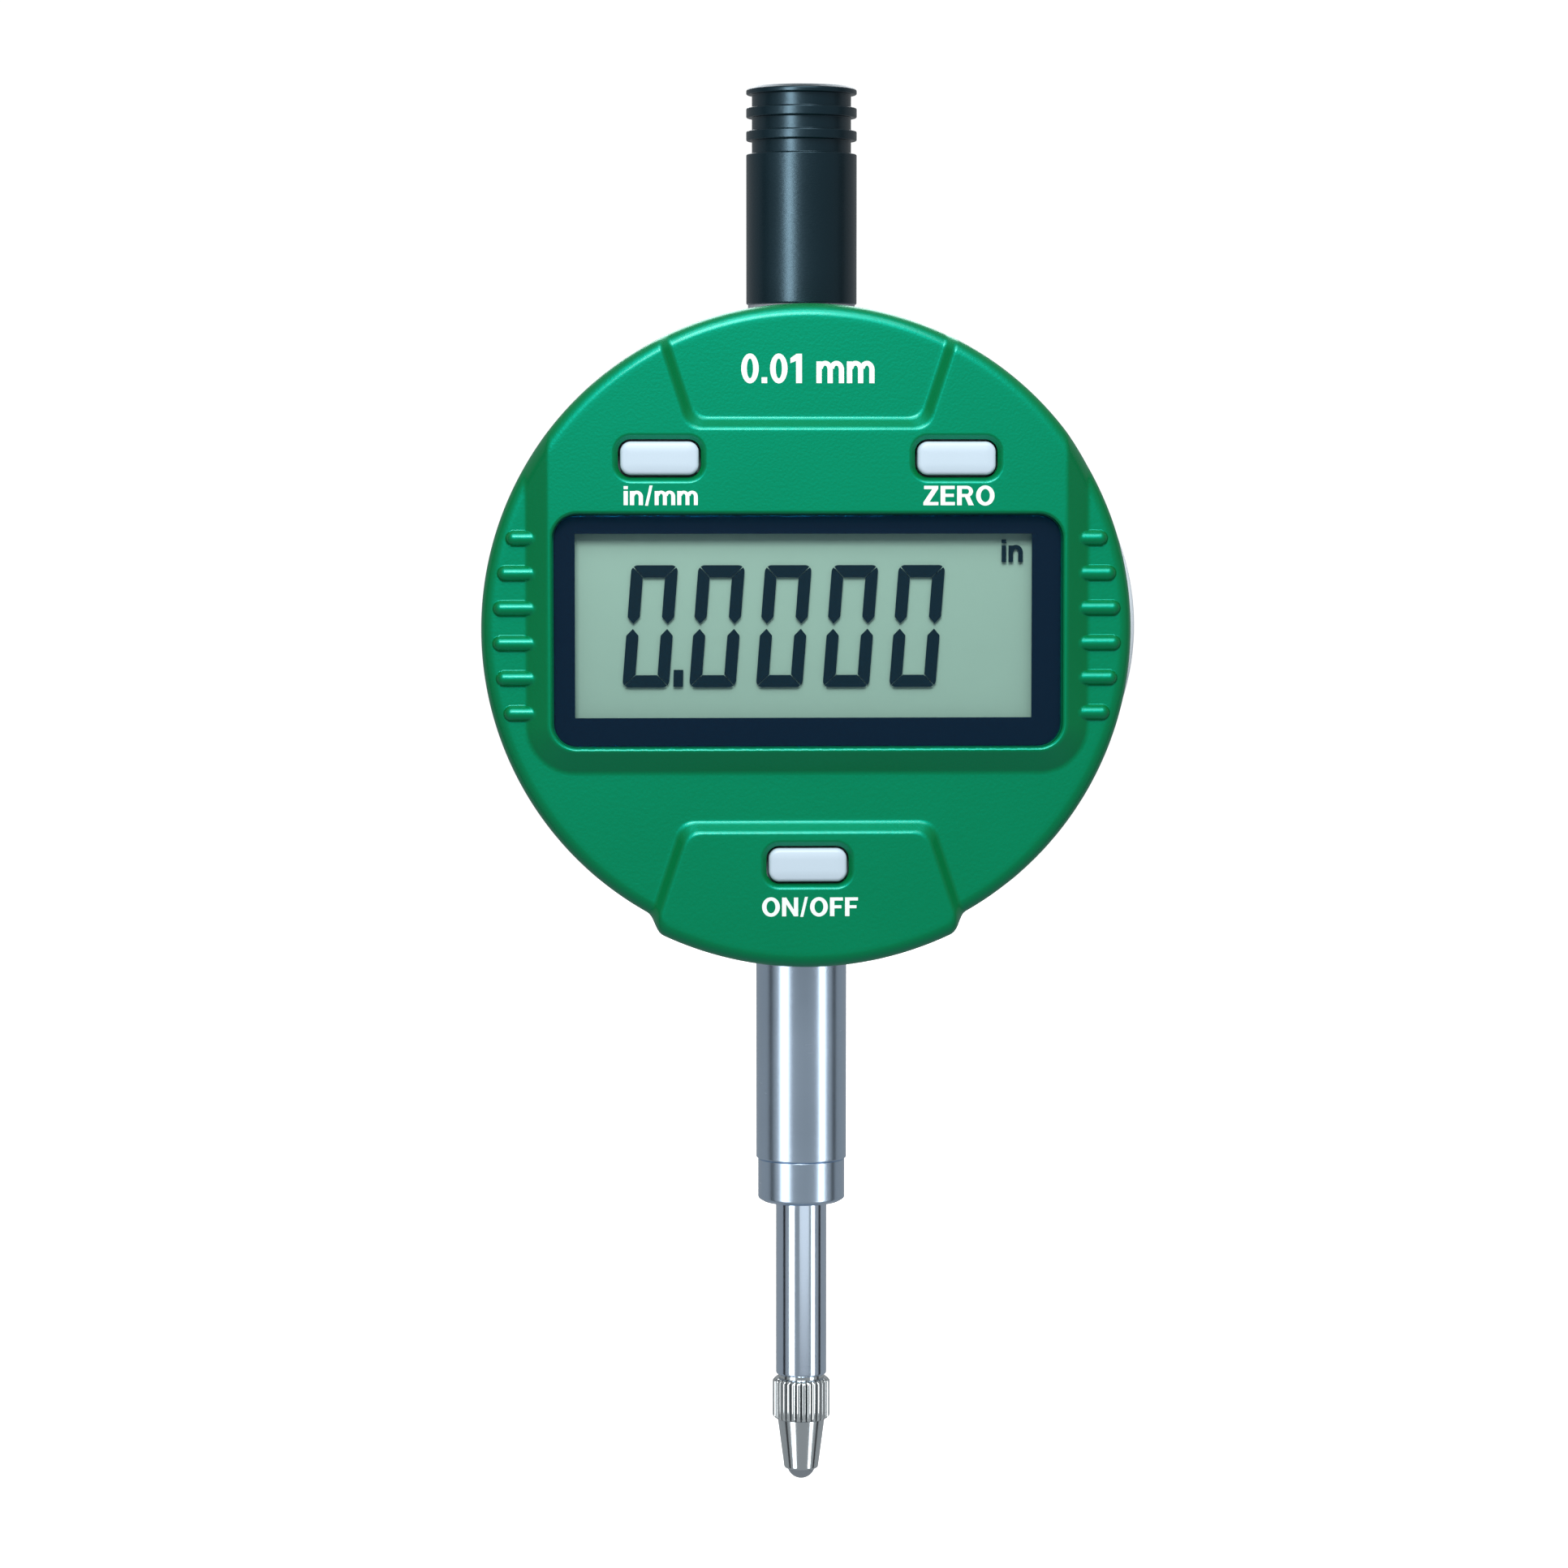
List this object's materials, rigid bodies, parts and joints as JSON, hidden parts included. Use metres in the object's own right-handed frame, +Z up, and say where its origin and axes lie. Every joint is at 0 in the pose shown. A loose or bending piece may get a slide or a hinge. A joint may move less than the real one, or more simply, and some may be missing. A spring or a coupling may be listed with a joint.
{
  "type": "digital dial indicator",
  "caption": "Round-headed digital indicator with a display, three keys, a battery drawer, a clamping stem, a sprung spindle with a knurled ball point, a grooved top cap and a lug back.",
  "frame": {"origin": "on the stem's axis, at the middle of its clamping length", "axes": "+Z up along the spindle, towards the top cap; -Y is the side with the display; +X is the side with the battery drawer"},
  "size_m": [0.0571, 0.0373, 0.1234],
  "materials": {
    "cover_green": "satin moulded, very fine texture",
    "lens_clear": "clear polished acrylic",
    "mask_black": "printed black border",
    "lcd": "grey-green liquid crystal display",
    "plastic_grey": "moulded dark grey",
    "strip_rubber": "conductive rubber",
    "board_green": "solder mask on glass-fibre board",
    "pad_copper": "gold-flashed copper",
    "chip_black": "moulded black",
    "leaf_brass": "bright spring brass",
    "screw_steel": "zinc plated",
    "screw_black": "black oxide",
    "case_metal": "die-cast, satin silver-grey paint",
    "steel_ground": "ground, fine turned grain",
    "steel_polished": "hardened and polished",
    "bush_bronze": "sintered bronze",
    "spring_steel": "drawn music wire",
    "cap_black": "black anodised, satin",
    "carriage_aluminium": "machined",
    "scale_amber": "glass-fibre strip with copper plates",
    "ball_carbide": "lapped carbide",
    "key_pale": "moulded pale grey",
    "drawer_pale": "moulded pale grey",
    "cell_steel": "pressed steel can"
  },
  "bodies": {
    "housing": {"front_cover": "cover_green", "lens": "lens_clear", "lens_mask": "mask_black", "lcd_glass": "lcd", "lcd_holder": "plastic_grey", "contact_strips": "strip_rubber", "main_board": "board_green", "reader_pads": "pad_copper", "board_components": "chip_black", "switch_bodies": "plastic_grey", "battery_contacts": "leaf_brass", "board_screws": "screw_steel", "case": "case_metal", "back_cover": "case_metal", "cover_screws": "screw_steel", "back_screws": "screw_steel", "stem": "steel_ground", "nose_bush": "steel_ground", "upper_bush": "bush_bronze", "stem_set_screw": "screw_black", "stop_washer": "strip_rubber", "guide_rod": "steel_ground", "return_spring": "spring_steel", "top_cap": "cap_black"},
    "spindle_assembly": {"spindle": "steel_polished", "scale_carriage": "carriage_aluminium", "carriage_screw": "screw_black", "scale_strip": "scale_amber", "contact_point": "steel_polished", "measuring_ball": "ball_carbide"},
    "in_mm_key": {"in_mm_button": "key_pale", "in_mm_plunger": "plastic_grey"},
    "zero_key": {"zero_button": "key_pale", "zero_plunger": "plastic_grey"},
    "on_off_key": {"on_off_button": "key_pale", "on_off_plunger": "plastic_grey"},
    "drawer": {"battery_drawer": "drawer_pale", "button_cell": "cell_steel"}
  },
  "joints": [
    {"name": "spindle_slide", "type": "slide", "parent": "housing", "child": "spindle_assembly", "axis": [0, 0, 1], "range_m": [0, 0.0127], "stiffness_N_per_m": 47, "springref_m": -0.0127, "deforming": ["return_spring"]},
    {"name": "in_mm_key_press", "type": "slide", "parent": "housing", "child": "in_mm_key", "axis": [0, 1, 0], "range_m": [0, 0.00035], "stiffness_N_per_m": 1000, "springref_m": -0.0005},
    {"name": "zero_key_press", "type": "slide", "parent": "housing", "child": "zero_key", "axis": [0, 1, 0], "range_m": [0, 0.00035], "stiffness_N_per_m": 1000, "springref_m": -0.0005},
    {"name": "on_off_key_press", "type": "slide", "parent": "housing", "child": "on_off_key", "axis": [0, 1, 0], "range_m": [0, 0.00035], "stiffness_N_per_m": 1000, "springref_m": -0.0005},
    {"name": "drawer_slide", "type": "slide", "parent": "housing", "child": "drawer", "axis": [1, 0, 0], "range_m": [0, 0.016]}
  ]
}
